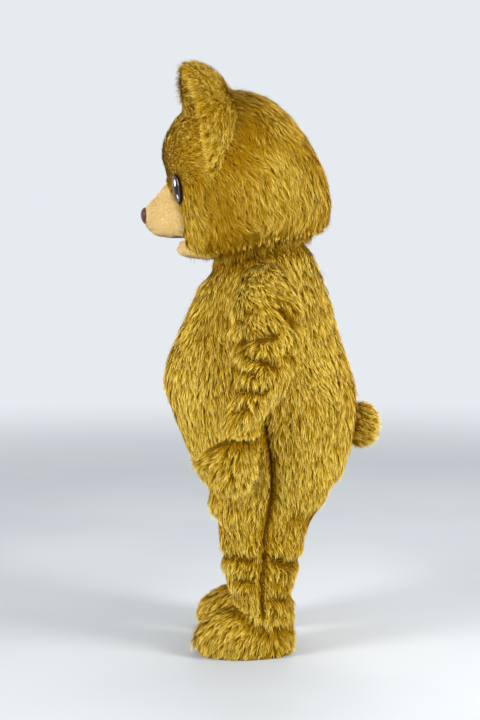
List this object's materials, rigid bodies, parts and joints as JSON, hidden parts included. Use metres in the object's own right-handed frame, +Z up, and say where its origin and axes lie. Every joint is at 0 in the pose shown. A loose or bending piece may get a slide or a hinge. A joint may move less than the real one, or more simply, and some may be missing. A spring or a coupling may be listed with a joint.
{
  "type": "bear mascot costume",
  "caption": "Worn bear mascot costume: furred bodysuit with sleeves, mittens and boots, and a large hollow bear head with cupped ears, cream muzzle, and a round tail",
  "frame": {"origin": "middle of the suit's neck opening, where it hangs from the wearer's shoulders", "axes": "+Z up, the bear faces -Y, its left side is +X"},
  "size_m": [0.9682, 0.7835, 1.8839],
  "materials": {
    "golden_fur": "long golden faux fur on a knitted backing",
    "cream_plush": "short cream plush",
    "nose_vinyl": "smooth dark brown vinyl",
    "eye_acrylic": "polished black acrylic dome",
    "sole_foam": "dark closed-cell foam sole"
  },
  "bodies": {
    "root": {"suit_front_left": "golden_fur", "suit_back_left": "golden_fur", "sleeve_left": "golden_fur", "glove_back_left": "golden_fur", "glove_palm_left": "golden_fur", "boot_upper_left": "golden_fur", "boot_sole_left": "sole_foam", "head_side_left": "golden_fur", "ear_left": "golden_fur", "eye_left": "eye_acrylic", "suit_front_right": "golden_fur", "suit_back_right": "golden_fur", "sleeve_right": "golden_fur", "glove_back_right": "golden_fur", "glove_palm_right": "golden_fur", "boot_upper_right": "golden_fur", "boot_sole_right": "sole_foam", "head_side_right": "golden_fur", "ear_right": "golden_fur", "eye_right": "eye_acrylic", "tail": "golden_fur", "head_back": "golden_fur", "muzzle": "cream_plush", "jaw": "cream_plush", "nose": "nose_vinyl"}
  },
  "joints": []
}
